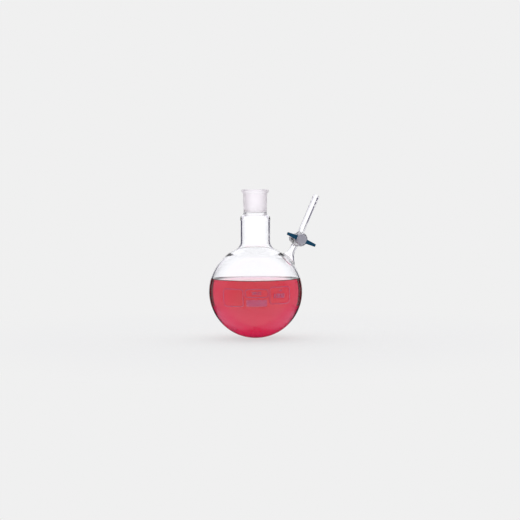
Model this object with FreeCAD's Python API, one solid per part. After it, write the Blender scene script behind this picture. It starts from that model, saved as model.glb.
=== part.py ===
import FreeCAD, Part
import math
import os

from FreeCAD import Vector

# Schlenk flask: a 1000 ml round-bottom flask with a ground socket, and a side arm with a
# stopcock and a hose end. The glass is blown and welded into one piece. A tapered plastic key
# turns in the barrel of the stopcock, and a washer, a sealing ring and a nut draw it in.
#
# Millimetres. +Z runs up the neck, the origin is the lowest point of the bulb, the side arm
# leans towards +X, and the handle of the stopcock faces -Y. The stopcock is shut.

# Bulb and neck
bulb_diameter = 131.0  # outside
bulb_wall = 2.0
crown_wall = 2.9  # round the neck, where the glass of the bulb was left thicker
crown_angle = 37.0  # degrees from the top of the bulb to the middle of that step
crown_step = 5.0  # degrees over which the wall changes
neck_diameter = 42.0  # outside
neck_wall = 2.2
neck_root_rounding = 12.0  # outside, where the bulb runs into the neck
neck_root_inner_rounding = 18.0
overall_height = 208.5  # to the top of the rim

# Ground socket, standard taper 29/32
socket_mouth_diameter = 29.2  # inside, at the rim
ground_length = 32.0
socket_taper = 0.1  # diameter lost for each millimetre of length
socket_mouth_wall = 2.3
socket_foot_wall = 3.2
socket_clear_length = 2.0  # polished tube below the ground length
rim_height = 4.8
rim_overhang = 2.1  # how far the rim stands out from the socket
rim_rounding = 1.7
rim_root_rounding = 0.8
mouth_rounding = 0.5

# Shoulder between neck and socket
shoulder_rounding = 7.0  # outside, at the top of the neck
shoulder_root_rounding = 3.0  # outside, at the foot of the socket
shoulder_inner_rounding = 8.0
socket_lip_rounding = 2.5  # inside, where the socket ends in the neck

# Side arm. Tilts are degrees from the neck's direction, towards +X.
arm_tilt = 24.0  # of the hose end, with the way through the stopcock
arm_root_angle = 47.3  # degrees from the top of the bulb to the middle of the flare's foot
flare_foot_diameter = 24.0  # on the bulb
flare_length = 14.5
flare_tilt = 20.6
flare_wall = 2.0
flare_turning = 1.8  # how late the flare turns to face the bulb: 1 is evenly along its length
flare_section_count = 9
flare_foot_rounding = 3.0  # outside, where the flare meets the bulb
flare_inner_rounding = 1.5
lower_tube_diameter = 9.0
lower_tube_wall = 1.8
lower_tube_length = 17.0  # from the stopcock's centre to the flare
lower_tube_tilt = 29.0

# Hose end
upper_tube_diameter = 8.7
upper_tube_wall = 1.6
hose_end_length = 67.2  # from the stopcock's centre to the tip
ridge_count = 3
ridge_pitch = 6.6
ridge_length = 5.2
ridge_height = 0.7
hose_tip_length = 1.4  # plain tube past the last ridge
hose_tip_rounding = 0.6

# Stopcock barrel: the key's seat has a 1:5 taper
barrel_length = 32.0
seat_diameter = 14.5  # at the front end
seat_taper = 0.2  # diameter lost for each millimetre of length
barrel_front_wall = 2.3
barrel_rear_wall = 4.4
barrel_bead_length = 3.4
barrel_bead_height = 0.5
barrel_rounding = 1.1
port_diameter = 4.0  # the way through the barrel's wall and the key
port_funnel_length = 3.5  # from the port's width to the tube's
weld_rounding = 1.8  # where the tubes meet the barrel

# Key
key_clearance = 0.08  # radial, between key and seat
head_gap = 0.8  # between the barrel's front end and the key's head
key_end_gap = 0.5  # the taper stops this far inside the barrel's rear end
head_diameter = 15.0
head_length = 5.8
head_rounding = 2.4  # of its front edge
tail_diameter = 6.4
tail_flats = 5.0  # across the tail's two flats
tail_overhang = 2.6  # past the nut
tail_flat_start = 0.6  # the flats begin this far behind the taper
tail_chamfer = 0.8

# Handle: a bar pushed through the key's head
handle_span = 44.0
handle_root_width = 6.2
handle_tip_width = 3.9
handle_thickness = 3.4
handle_rounding = 0.9
slot_clearance = 0.05

# Washer, sealing ring and nut on the key's tail
washer_diameter = 12.6
washer_thickness = 1.6
washer_gap = 0.15  # to the barrel, in which the key turns
ring_section = 1.9
tail_clearance = 0.1
stack_gap = 0.05
nut_diameter = 14.4
nut_length = 6.6
nut_collar_diameter = 10.4
nut_collar_length = 1.4
nut_flute_count = 12
nut_flute_diameter = 2.2
nut_flute_depth = 0.7
nut_chamfer = 0.6

# Liquid
liquid_level = 82.7  # height of its surface above the bulb's lowest point
liquid_clearance = 0.1
meniscus_height = 1.6  # how far the liquid draws up the glass
meniscus_width = 3.5
contact_angle = 25.0  # degrees between the liquid's surface and the glass

# Worked out from the sizes above
bulb_radius = bulb_diameter / 2
bulb_inner_radius = bulb_radius - bulb_wall
crown_inner_radius = bulb_radius - crown_wall
neck_radius = neck_diameter / 2
neck_inner_radius = neck_radius - neck_wall
socket_mouth_radius = socket_mouth_diameter / 2
socket_foot_radius = socket_mouth_radius - ground_length * socket_taper / 2
ground_foot_height = overall_height - ground_length
lower_tube_radius = lower_tube_diameter / 2
lower_bore_radius = lower_tube_radius - lower_tube_wall
upper_tube_radius = upper_tube_diameter / 2
upper_bore_radius = upper_tube_radius - upper_tube_wall
port_radius = port_diameter / 2
barrel_front = -barrel_length / 2
barrel_rear = barrel_length / 2
seat_front_radius = seat_diameter / 2
head_rear = barrel_front - head_gap
head_front = head_rear - head_length
key_rear = barrel_rear - key_end_gap
washer_front = barrel_rear + washer_gap
ring_front = washer_front + washer_thickness + stack_gap
nut_front = ring_front + ring_section + stack_gap
tail_end = nut_front + nut_length + tail_overhang
handle_middle = (head_front + head_rear) / 2
cut_margin = 1.0  # how far a cutting solid runs past what it cuts
bore_overlap = 0.2  # how far two bores that meet run into each other
finding_margin = 0.01  # how far from its own place an edge may lie and still be found


def tilted(angle):
    """Unit direction at an angle from the neck's direction, leaning towards +X."""
    turn = math.radians(angle)
    return Vector(math.sin(turn), 0, math.cos(turn))


bulb_centre = Vector(0, 0, bulb_radius)
flare_foot = bulb_centre + tilted(arm_root_angle) * bulb_radius
flare_top = flare_foot + tilted(flare_tilt) * flare_length
stopcock_centre = flare_top + tilted(lower_tube_tilt) * lower_tube_length


def seat_radius(y):
    """Radius of the key's seat at a place along the barrel."""
    return seat_front_radius - (y - barrel_front) * seat_taper / 2


def barrel_radius(y):
    """Outside radius of the barrel behind its bead, at a place along it."""
    front = seat_front_radius + barrel_front_wall
    rear = seat_radius(barrel_rear) + barrel_rear_wall
    return front + (rear - front) * (y - barrel_front) / barrel_length


def point(radius, height):
    return Vector(radius, 0, height)


def line(start, end):
    return Part.LineSegment(start, end).toShape()


def arc_round(centre, start, end):
    """The shorter arc about a centre."""
    middle = (start - centre) + (end - centre)
    middle.normalize()
    return Part.Arc(start, centre + middle * (start - centre).Length, end).toShape()


def bend_centre(start, direction, end):
    """Centre of the arc that leaves a point in a direction and passes through another."""
    across = Vector(direction.z, 0, -direction.x)
    gap = end - start
    return start + across * (gap.dot(gap) / (2 * across.dot(gap)))


def double_bend(start, direction, end, end_direction):
    """Two tangent arcs between two points, which leave and arrive in the given directions."""
    gap = end - start
    both = direction + end_direction
    spread = 2 * (1 - direction.dot(end_direction))
    along = gap.dot(both)
    reach = (math.sqrt(along**2 + spread * gap.dot(gap)) - along) / spread
    meeting = (start + end + (direction - end_direction) * reach) * 0.5
    return [
        arc_round(bend_centre(start, direction, meeting), start, meeting),
        arc_round(bend_centre(end, end_direction, meeting), meeting, end),
    ]


def rounded_outline(corners):
    """Edges through (radius, height, rounding) corners, each rounded by a tangent arc."""
    stretches = []
    for i, (radius, height, rounding) in enumerate(corners):
        corner = point(radius, height)
        if rounding == 0:
            stretches.append((corner, None, corner))
            continue
        before = point(*corners[i - 1][:2]) - corner
        after = point(*corners[i + 1][:2]) - corner
        before.normalize()
        after.normalize()
        half_angle = before.getAngle(after) / 2
        setback = rounding / math.tan(half_angle)
        middle = before + after
        middle.normalize()
        centre = corner + middle * (rounding / math.sin(half_angle))
        stretches.append((corner + before * setback, centre, corner + after * setback))
    edges = []
    for i, (start, centre, end) in enumerate(stretches):
        if i:
            edges.append(line(stretches[i - 1][2], start))
        if centre is not None:
            edges.append(arc_round(centre, start, end))
    return edges


def turned(edges):
    """The solid that a closed outline in the XZ plane makes when it turns about Z."""
    face = Part.Face(Part.Wire(Part.__sortEdges__(edges)))
    return face.revolve(Vector(0, 0, 0), Vector(0, 0, 1), 360)


def closed_on_axis(edges):
    """Closes an outline, given from its lowest point to its highest, along the Z axis."""
    start = edges[0].firstVertex(True).Point
    end = edges[-1].lastVertex(True).Point
    foot, top = point(0, start.z), point(0, end.z)
    if end.x > 0:
        edges = edges + [line(end, top)]
    if start.x > 0:
        edges = [line(foot, start)] + edges
    return edges + [line(top, foot)]


def along_barrel(shape):
    """Lays a solid made about Z along the barrel's axis, with its foot to the front, at -Y."""
    shape.rotate(Vector(0, 0, 0), Vector(1, 0, 0), -90)
    return shape


def on_arm(shape):
    """Moves a solid from the stopcock's own frame, whose Z runs up the arm, to its place."""
    shape.rotate(Vector(0, 0, 0), Vector(0, 1, 0), arm_tilt)
    shape.translate(stopcock_centre)
    return shape


def rod(radius, start, end):
    """A round bar between two points."""
    return Part.makeCylinder(radius, (end - start).Length, start, end - start)


def edges_near(shape, place, low, high):
    """Edges whose points all lie between two distances from a place."""
    found = []
    for edge in shape.Edges:
        if edge.Degenerated:
            continue
        if all(low < (p - place).Length < high for p in edge.discretize(12)):
            found.append(edge)
    return found


def neck_root(bulb, neck, rounding):
    """Where a rounding meets the bulb and the neck, and the rounding's centre."""
    rise = math.sqrt((bulb + rounding) ** 2 - (neck + rounding) ** 2)
    centre = bulb_centre + point(neck + rounding, rise)
    on_bulb = bulb_centre + (centre - bulb_centre) * (bulb / (bulb + rounding))
    return on_bulb, centre, point(neck, centre.z)


def shoulder(start, tube, foot_height, top_rounding, root_rounding):
    """Edges from the neck's wall at start, over the shoulder, to a narrower tube at a height."""
    root_centre = point(tube + root_rounding, foot_height)
    across = root_centre.x - (start.x - top_rounding)
    reach = top_rounding + root_rounding
    drop = math.sqrt(reach**2 - across**2)
    top_centre = point(start.x - top_rounding, foot_height - drop)
    meeting = top_centre + (root_centre - top_centre) * (top_rounding / reach)
    neck_end = point(start.x, top_centre.z)
    return [
        line(start, neck_end),
        arc_round(top_centre, neck_end, meeting),
        arc_round(root_centre, meeting, point(tube, foot_height)),
    ]


def flask_outside():
    """Bulb, neck, shoulder, socket and rim, as one solid with no hollow."""
    on_bulb, centre, on_neck = neck_root(bulb_radius, neck_radius, neck_root_rounding)
    foot = socket_foot_radius + socket_foot_wall
    mouth = socket_mouth_radius + socket_mouth_wall
    edges = [arc_round(bulb_centre, point(0, 0), on_bulb), arc_round(centre, on_bulb, on_neck)]
    edges += shoulder(
        on_neck, foot, ground_foot_height, shoulder_rounding, shoulder_root_rounding
    )
    edges += rounded_outline(
        [
            (foot, ground_foot_height, 0),
            (mouth, overall_height - rim_height, rim_root_rounding),
            (mouth + rim_overhang, overall_height - rim_height, rim_rounding),
            (mouth + rim_overhang, overall_height, rim_rounding),
            (0, overall_height, 0),
        ]
    )
    return turned(closed_on_axis(edges))


def flask_inside():
    """The hollow of bulb, neck and socket. The wall thickens in a step round the crown."""
    step_foot = crown_angle + crown_step / 2
    step_top = crown_angle - crown_step / 2
    foot = bulb_centre + tilted(step_foot) * bulb_inner_radius
    top = bulb_centre + tilted(step_top) * crown_inner_radius
    on_bulb, centre, on_neck = neck_root(
        crown_inner_radius, neck_inner_radius, neck_root_inner_rounding
    )
    edges = [arc_round(bulb_centre, point(0, bulb_wall), foot)]
    edges.append(line(foot, top))
    edges += [arc_round(bulb_centre, top, on_bulb), arc_round(centre, on_bulb, on_neck)]
    lip_height = ground_foot_height - socket_clear_length
    edges += shoulder(
        on_neck, socket_foot_radius, lip_height, shoulder_inner_rounding, socket_lip_rounding
    )
    edges += rounded_outline(
        [
            (socket_foot_radius, lip_height, 0),
            (socket_foot_radius, ground_foot_height, 0),
            (socket_mouth_radius, overall_height - mouth_rounding, 0),
            (socket_mouth_radius + mouth_rounding, overall_height, 0),
            (socket_mouth_radius + mouth_rounding, overall_height + cut_margin, 0),
        ]
    )
    return turned(closed_on_axis(edges))


def flare(foot_radius, tube_radius, depth):
    """The foot of the arm: it widens from the tube and turns to face the bulb."""
    bend = flare_top - tilted(lower_tube_tilt) * (flare_length / 2)
    sections = []
    sunk = flare_foot - tilted(arm_root_angle) * depth
    sections.append(Part.Wire(Part.makeCircle(foot_radius, sunk, tilted(arm_root_angle))))
    for i in range(flare_section_count):
        share = i / (flare_section_count - 1)
        left = 1 - share
        middle = flare_foot * left**2 + bend * (2 * left * share) + flare_top * share**2
        radius = tube_radius + (foot_radius - tube_radius) * left**2
        tilt = lower_tube_tilt + (arm_root_angle - lower_tube_tilt) * left**flare_turning
        sections.append(Part.Wire(Part.makeCircle(radius, middle, tilted(tilt))))
    return Part.makeLoft(sections, True, False)


def hose_outline():
    """Half outline of the hose end, from the stopcock's centre to the rounded tip."""
    plain = upper_tube_radius
    bulge = (ridge_length**2 / 4 + ridge_height**2) / (2 * ridge_height)
    edges = []
    place = point(plain, 0)
    for i in reversed(range(ridge_count)):
        end = hose_end_length - hose_tip_length - i * ridge_pitch
        foot, top = point(plain, end - ridge_length), point(plain, end)
        centre = point(plain + ridge_height - bulge, end - ridge_length / 2)
        edges += [line(place, foot), arc_round(centre, foot, top)]
        place = top
    tip_centre = point(plain - hose_tip_rounding, hose_end_length - hose_tip_rounding)
    tip_start = point(plain, tip_centre.z)
    tip_end = point(tip_centre.x, hose_end_length)
    return edges + [line(place, tip_start), arc_round(tip_centre, tip_start, tip_end)]


def barrel_outside():
    """The barrel of the stopcock with the bead round its front end, about the Y axis."""
    bead = seat_front_radius + barrel_front_wall + barrel_bead_height
    bead_end = barrel_front + barrel_bead_length
    bead_foot = bead_end + barrel_bead_height
    corners = [
        (0, barrel_front, 0),
        (bead, barrel_front, barrel_rounding),
        (bead, bead_end, barrel_bead_height),
        (barrel_radius(bead_foot), bead_foot, barrel_bead_height),
        (barrel_radius(barrel_rear), barrel_rear, barrel_rounding),
        (0, barrel_rear, 0),
    ]
    return along_barrel(turned(closed_on_axis(rounded_outline(corners))))


def seat():
    """The tapered hole in the barrel."""
    front, rear = barrel_front - cut_margin, barrel_rear + cut_margin
    corners = [(seat_radius(front), front, 0), (seat_radius(rear), rear, 0)]
    return along_barrel(turned(closed_on_axis(rounded_outline(corners))))


def stopcock_outside():
    """Barrel, hose end and lower tube, welded, in the stopcock's own frame."""
    upper = turned(closed_on_axis(hose_outline()))
    lower = rod(
        lower_tube_radius, Vector(0, 0, 0), tilted(lower_tube_tilt - arm_tilt) * -lower_tube_length
    )
    joined = barrel_outside().fuse([upper, lower])
    surface, tube_spread = barrel_radius(0), lower_tube_radius / 2
    welds = edges_near(joined, Vector(0, 0, 0), surface - tube_spread, surface + tube_spread)
    return joined.makeFillet(weld_rounding, welds)


def stopcock_ways():
    """The ways from the seat out to both tubes, in the stopcock's own frame."""
    surface = barrel_radius(0)
    hose_way = upper_bore_radius
    tube_way = lower_bore_radius
    funnel_end = surface + port_funnel_length
    down = tilted(lower_tube_tilt - arm_tilt) * -1
    up_port = rod(port_radius, Vector(0, 0, 0), Vector(0, 0, surface))
    down_port = rod(port_radius, Vector(0, 0, 0), down * surface)
    up_funnel = Part.makeCone(
        port_radius, hose_way, port_funnel_length, Vector(0, 0, surface), Vector(0, 0, 1)
    )
    down_funnel = Part.makeCone(
        port_radius, tube_way, port_funnel_length, down * surface, down
    )
    hose_end = Vector(0, 0, hose_end_length + cut_margin)
    hose_bore = rod(hose_way, Vector(0, 0, funnel_end), hose_end)
    tube_bore = rod(tube_way, down * funnel_end, down * (lower_tube_length + bore_overlap))
    return up_port.fuse([down_port, up_funnel, down_funnel, hose_bore, tube_bore])


def foot_weld(shape, wall_radius, foot_radius, rounding):
    """Rounds the edge where the flare meets the bulb."""
    low, high = wall_radius - finding_margin, wall_radius + finding_margin
    on_wall = edges_near(shape, bulb_centre, low, high)
    by_foot = edges_near(shape, flare_foot, foot_radius / 2, foot_radius * 3 / 2)
    weld = [edge for edge in on_wall if any(edge.isSame(other) for other in by_foot)]
    return shape.makeFillet(rounding, weld)


def flask_body():
    """The glass: bulb, neck, socket, side arm, barrel and hose end, blown and welded as one."""
    foot_radius = flare_foot_diameter / 2
    stopcock = on_arm(stopcock_outside())
    outer_flare = flare(foot_radius, lower_tube_radius, bulb_wall)
    glass = flask_outside().fuse([outer_flare, stopcock])
    glass = foot_weld(glass, bulb_radius, foot_radius, flare_foot_rounding)
    inner_foot_radius = foot_radius - flare_wall
    inner_flare = flare(inner_foot_radius, lower_bore_radius, bulb_wall * 2 + cut_margin)
    hollow = flask_inside().fuse(inner_flare)
    hollow = foot_weld(hollow, bulb_inner_radius, inner_foot_radius, flare_inner_rounding)
    return glass.cut(hollow).cut([on_arm(stopcock_ways()), on_arm(seat())])


def liquid():
    """The filling, up to its level, with the rim that it draws up the glass."""
    wall = bulb_inner_radius - liquid_clearance
    rise = liquid_level + meniscus_height - bulb_radius
    rim = bulb_centre + point(math.sqrt(wall**2 - rise**2), rise)
    wall_direction = math.degrees(math.atan2(rim.x, rise)) + 90
    flat_end = point(rim.x - meniscus_width, liquid_level)
    edges = [arc_round(bulb_centre, bulb_centre - point(0, wall), rim)]
    edges += double_bend(rim, tilted(wall_direction + contact_angle), flat_end, Vector(-1, 0, 0))
    return turned(closed_on_axis(edges))


def box(low, high):
    size = high - low
    return Part.makeBox(size.x, size.y, size.z, low)


def stopcock_key():
    """The tapered plug with its way through, shut, its head with a slot, and its flatted tail."""
    front = seat_radius(head_rear) - key_clearance
    rear = seat_radius(key_rear) - key_clearance
    tail = tail_diameter / 2
    corners = [
        (0, head_front, 0),
        (head_diameter / 2, head_front, head_rounding),
        (head_diameter / 2, head_rear, 0),
        (front, head_rear, 0),
        (rear, key_rear, 0),
        (tail, key_rear, 0),
        (tail, tail_end - tail_chamfer, 0),
        (tail - tail_chamfer, tail_end, 0),
        (0, tail_end, 0),
    ]
    key = along_barrel(turned(closed_on_axis(rounded_outline(corners))))
    reach = seat_front_radius + cut_margin
    key = key.cut(rod(port_radius, Vector(-reach, 0, 0), Vector(reach, 0, 0)))
    key = key.cut(handle_slot())
    return on_arm(key.cut(tail_sides(tail_flats / 2, key_rear + tail_flat_start, tail_end)))


def tail_sides(half_width, start, end):
    """The two blocks that leave a pair of flats on the tail between them."""
    reach = tail_diameter
    above = box(Vector(-reach, start, half_width), Vector(reach, end + cut_margin, reach))
    below = box(Vector(-reach, start, -reach), Vector(reach, end + cut_margin, -half_width))
    return [above, below]


def handle_slot():
    half = head_diameter / 2 + cut_margin
    deep = handle_thickness / 2 + slot_clearance
    wide = handle_root_width / 2 + slot_clearance
    return box(
        Vector(-half, handle_middle - deep, -wide), Vector(half, handle_middle + deep, wide)
    )


def stopcock_handle():
    """The bar through the key's head: straight in the slot, and tapered to both tips."""
    tip, root = handle_tip_width / 2, handle_root_width / 2
    straight, reach = head_diameter / 2, handle_span / 2
    back = handle_middle - handle_thickness / 2
    corners = [
        (-reach, -tip),
        (-straight, -root),
        (straight, -root),
        (reach, -tip),
        (reach, tip),
        (straight, root),
        (-straight, root),
        (-reach, tip),
    ]
    outline = Part.makePolygon([Vector(x, back, z) for x, z in corners + corners[:1]])
    bar = Part.Face(outline).extrude(Vector(0, handle_thickness, 0))
    tips = []
    for edge in bar.Edges:
        if abs(edge.CenterOfMass.x) > straight + finding_margin:
            tips.append(edge)
    return on_arm(bar.makeFillet(handle_rounding, tips))


def flatted_hole(start, length):
    """The hole of the washer, which the flats of the tail keep from turning."""
    radius = tail_diameter / 2 + tail_clearance
    hole = along_barrel(Part.makeCylinder(radius, length + 2 * cut_margin))
    hole.translate(Vector(0, start - cut_margin, 0))
    half_width = tail_flats / 2 + tail_clearance
    start_cut = start - 2 * cut_margin
    return hole.cut(tail_sides(half_width, start_cut, start + length + 2 * cut_margin))


def key_washer():
    start = Vector(0, washer_front, 0)
    disc = rod(washer_diameter / 2, start, start + Vector(0, washer_thickness, 0))
    return on_arm(disc.cut(flatted_hole(washer_front, washer_thickness)))


def sealing_ring():
    section = ring_section / 2
    middle = tail_diameter / 2 + tail_clearance + section
    ring = along_barrel(Part.makeTorus(middle, section))
    ring.translate(Vector(0, ring_front + section, 0))
    return on_arm(ring)


def key_nut():
    """The fluted nut with a collar that presses on the sealing ring."""
    collar_end = nut_front + nut_collar_length
    nut_rear = nut_front + nut_length
    radius = nut_diameter / 2
    corners = [
        (0, nut_front, 0),
        (nut_collar_diameter / 2, nut_front, 0),
        (nut_collar_diameter / 2, collar_end, 0),
        (radius - nut_chamfer, collar_end, 0),
        (radius, collar_end + nut_chamfer, 0),
        (radius, nut_rear - nut_chamfer, 0),
        (radius - nut_chamfer, nut_rear, 0),
        (0, nut_rear, 0),
    ]
    nut = along_barrel(turned(closed_on_axis(rounded_outline(corners))))
    flute_radius = nut_flute_diameter / 2
    flute_place = radius - nut_flute_depth + flute_radius
    flutes = []
    for i in range(nut_flute_count):
        turn = 2 * math.pi * i / nut_flute_count
        across, up = flute_place * math.cos(turn), flute_place * math.sin(turn)
        start = Vector(across, collar_end - cut_margin, up)
        flutes.append(rod(flute_radius, start, start + Vector(0, nut_length + cut_margin, 0)))
    start = Vector(0, nut_front - cut_margin, 0)
    hole_radius = tail_diameter / 2 + tail_clearance
    hole = rod(hole_radius, start, start + Vector(0, nut_length + 2 * cut_margin, 0))
    return on_arm(nut.cut(flutes).cut(hole))


NODES = {
    "flask_body": flask_body,
    "liquid": liquid,
    "stopcock_key": stopcock_key,
    "stopcock_handle": stopcock_handle,
    "key_washer": key_washer,
    "sealing_ring": sealing_ring,
    "key_nut": key_nut,
}

os.makedirs("parts", exist_ok=True)
for name, make in NODES.items():
    shape = make()
    print(name, shape.isValid(), len(shape.Solids), round(shape.Volume, 1))
    shape.exportStep(f"parts/{name}.step")
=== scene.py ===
import math

import bmesh
import bpy
import numpy as np
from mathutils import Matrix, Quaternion, Vector


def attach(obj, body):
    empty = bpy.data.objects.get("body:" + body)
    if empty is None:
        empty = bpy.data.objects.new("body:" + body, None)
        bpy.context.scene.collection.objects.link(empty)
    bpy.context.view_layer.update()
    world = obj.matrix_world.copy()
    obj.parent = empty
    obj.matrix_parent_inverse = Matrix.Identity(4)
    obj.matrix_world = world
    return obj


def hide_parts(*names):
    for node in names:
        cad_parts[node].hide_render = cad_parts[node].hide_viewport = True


# Schlenk flask. Sizes are millimetres and become metres in the meshes. +Z runs up the neck, the
# side arm leans towards +X, and the stopcock's handle faces -Y.
MM = 0.001

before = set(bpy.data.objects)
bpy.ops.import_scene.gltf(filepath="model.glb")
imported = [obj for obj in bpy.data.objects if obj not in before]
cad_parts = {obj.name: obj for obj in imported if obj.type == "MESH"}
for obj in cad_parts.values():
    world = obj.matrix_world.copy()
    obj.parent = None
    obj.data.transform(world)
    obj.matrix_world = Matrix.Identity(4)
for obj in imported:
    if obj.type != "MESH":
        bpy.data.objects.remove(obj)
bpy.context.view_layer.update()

# Bulb and neck
BULB_RADIUS = 65.5
BULB_INNER_RADIUS = 63.5
CROWN_INNER_RADIUS = 62.9
STEP_FOOT_ANGLE = 41.5  # degrees from the top of the bulb; the wall thickens between the two
STEP_TOP_ANGLE = 32.0
NECK_RADIUS = 21.0
NECK_INNER_RADIUS = 18.8
NECK_ROOT_ROUNDING = 12.0
NECK_ROOT_INNER_ROUNDING = 15.0
SHOULDER_ROUNDINGS = (7.0, 3.0)
SHOULDER_INNER_ROUNDINGS = (8.0, 2.5)
NECK_PLAIN_TOP = 166.0  # where its straight wall ends
NECK_INNER_PLAIN_TOP = 164.0

# Ground socket
RIM_HEIGHT = 208.5
GROUND_FOOT_HEIGHT = 176.5
GROUND_MARGIN = 0.5  # of clear glass below the ground surface
LIP_HEIGHT = 174.5
LIP_LENGTH = 0.3
SOCKET_FOOT_RADIUS = 13.0
SOCKET_MOUTH_RADIUS = 14.6
SOCKET_FOOT_OUTER_RADIUS = 16.2
SOCKET_MOUTH_OUTER_RADIUS = 16.9
RIM_FOOT_HEIGHT = 203.7
RIM_RADIUS = 19.0
RIM_ROUNDING = 1.7
RIM_ROOT_ROUNDING = 0.8
MOUTH_ROUNDING = 0.5

# Side arm. Tilts are degrees from the neck's direction, towards +X.
ARM_TILT = 24.0
FLARE_PLACE = 47.3
FLARE_FOOT_RADIUS = 12.0
FLARE_INNER_FOOT_RADIUS = 10.0
FLARE_LENGTH = 14.5
FLARE_TILT = 20.6
FLARE_TURNING = 1.8
FLARE_ROUNDING = 2.6
FLARE_INNER_ROUNDING = 1.3
FLARE_START = 0.14  # the share of its length that is rounding
FLARE_INNER_START = 0.06
LOWER_TILT = 29.0
LOWER_LENGTH = 17.0
LOWER_RADIUS = 4.5
LOWER_BORE_RADIUS = 2.7
UPPER_RADIUS = 4.35
UPPER_BORE_RADIUS = 2.75
HOSE_END_LENGTH = 67.2
HOSE_TIP_LENGTH = 1.4
HOSE_TIP_ROUNDING = 0.6
HOSE_MOUTH_CHAMFER = 0.3
HOSE_PLAIN_SPAN = (14.0, 44.0)  # the plain tube, from the weld to the ridges
HOSE_BORE_SPAN = (60.0, 20.0)
RIDGE_COUNT = 3
RIDGE_PITCH = 6.6
RIDGE_LENGTH = 5.2
RIDGE_HEIGHT = 0.35

# Print on the bulb. Places are across and up from its middle, then width and height.
PRINT_BEARING = -10.8  # degrees round the bulb from its front, towards +X
PRINT_LATITUDE = -3.9
PRINT_LIFT = 0.04
PRINT_STROKE = 0.7
PRINT_ROUNDING = 4.0
PRINT_FRAMES = (((-34.4, 0.0), (31, 24)), ((0.0, 6.4), (32, 11)), ((34.4, 3.0), (32, 23)))
PRINT_PATCH = ((0.0, -7.2), (29, 9.6))
PATCH_CORNER = 0.8
PRINT_TEXTS = (("1000", (32.5, 2.6), 6.6), ("ml", (34.5, 9.8), 3.4), ("29/32", (0.0, 6.4), 4.4))
LETTER_WEIGHT = 0.02  # how much the letters are thickened, as a share of their size
LETTER_SPACING = 1.6  # the longest edge in a letter
FRAME_SPACING = 1.5

# Stopcock barrel, along Y
BARREL_FRONT = -16.0
BARREL_REAR = 16.0
BARREL_FRONT_RADIUS = 9.55
BARREL_REAR_RADIUS = 8.45
BEAD_RADIUS = 10.05
BEAD_END = -12.6
BEAD_ROUNDING = 0.5
BARREL_ROUNDING = 1.1
BARREL_PLAIN = 9.0  # beside the weld
SEAT_FRONT_RADIUS = 7.25
SEAT_REAR_RADIUS = 4.05
SEAT_PLACES = (12.0, 8.0, 5.0)  # its rows on each side of the ports
PORT_RADIUS = 2.0
PORT_END_LENGTH = 1.5
FUNNEL_LENGTH = 3.5
WELD_WIDTH = 1.8
WELD_BULGE = 0.55

# Liquid
LIQUID_LEVEL = 82.7
LIQUID_OVERLAP = 0.12  # it runs this far into the wall, so that no air shows between the two
MENISCUS_HEIGHT = 1.6
MENISCUS_WIDTH = 3.0
MENISCUS_FALL = 3  # how steeply it falls from the glass

# How finely the glass is divided
BULB_COLUMNS = 192
TUBE_COLUMNS = 96
BULB_FOOT_ROWS = 56
LIQUID_ROWS = 70
MENISCUS_ROWS = 15
SURFACE_RINGS = (0.95, 0.8, 0.55, 0.3, 0.1)
NECK_ROWS = 5
CORNER_STEPS = 6
ROOT_STEPS = 14
SHOULDER_STEPS = 8
BEND_STEPS = 6
# Windows for the flare, the welds and the ports: half the quads along the tube's lean, half the
# quads across it, and the degrees or millimetres from one row to the next
FLARE_WINDOW = (10, 14, 2.0)
WELD_WINDOW = (14, 10, 0.8)
PORT_WINDOW = (8, 16, 0.2)


def tilted(angle):
    """Unit direction at an angle from the neck's direction, leaning towards +X."""
    turn = math.radians(angle)
    return np.array([math.sin(turn), 0.0, math.cos(turn)])


BULB_CENTRE = np.array([0.0, 0.0, BULB_RADIUS])
FLARE_FOOT = BULB_CENTRE + tilted(FLARE_PLACE) * BULB_RADIUS
FLARE_TOP = FLARE_FOOT + tilted(FLARE_TILT) * FLARE_LENGTH
STOPCOCK_CENTRE = FLARE_TOP + tilted(LOWER_TILT) * LOWER_LENGTH
ALONG_BARREL = np.array([0.0, 1.0, 0.0])
BEARINGS = np.arange(TUBE_COLUMNS) * 2 * math.pi / TUBE_COLUMNS
# Angles of the window's rows outside, and of those inside that follow the crown's step
OUTER_ROWS = FLARE_PLACE + FLARE_WINDOW[2] * np.arange(FLARE_WINDOW[0], -FLARE_WINDOW[0] - 1, -1)
CROWN_ROWS = [*np.linspace(FLARE_PLACE, 41.4, 4), 39.4, 37.6, 35.8, 34.0, 32.0, 30.0, 27.5]
CLEAR, GROUND = 0, 1  # the glass's two finishes, in the order of its materials


# ---- outlines


def arc(centre, start, end, steps):
    """Points on the shorter arc about a centre, without its first point."""
    centre, start, end = np.array(centre), np.array(start), np.array(end)
    first = math.atan2(start[1] - centre[1], start[0] - centre[0])
    last = math.atan2(end[1] - centre[1], end[0] - centre[0])
    sweep = (last - first + math.pi) % (2 * math.pi) - math.pi
    radius = math.dist(start, centre)
    turns = [first + sweep * (i + 1) / steps for i in range(steps)]
    return [(centre[0] + radius * math.cos(t), centre[1] + radius * math.sin(t)) for t in turns]


def rounded(*corners):
    """Points through (radius, height, rounding) corners, each rounded by a tangent arc."""
    points = []
    for i, (radius, height, rounding) in enumerate(corners):
        corner = np.array([radius, height])
        if rounding == 0:
            points.append((radius, height))
            continue
        before = np.array(corners[i - 1][:2]) - corner
        after = np.array(corners[i + 1][:2]) - corner
        before /= np.linalg.norm(before)
        after /= np.linalg.norm(after)
        half_angle = math.acos(before.dot(after)) / 2
        setback = rounding / math.tan(half_angle)
        middle = (before + after) / np.linalg.norm(before + after)
        centre = corner + middle * (rounding / math.sin(half_angle))
        start, end = corner + before * setback, corner + after * setback
        points.append(tuple(start))
        points += arc(centre, start, end, CORNER_STEPS)
    return points


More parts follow.
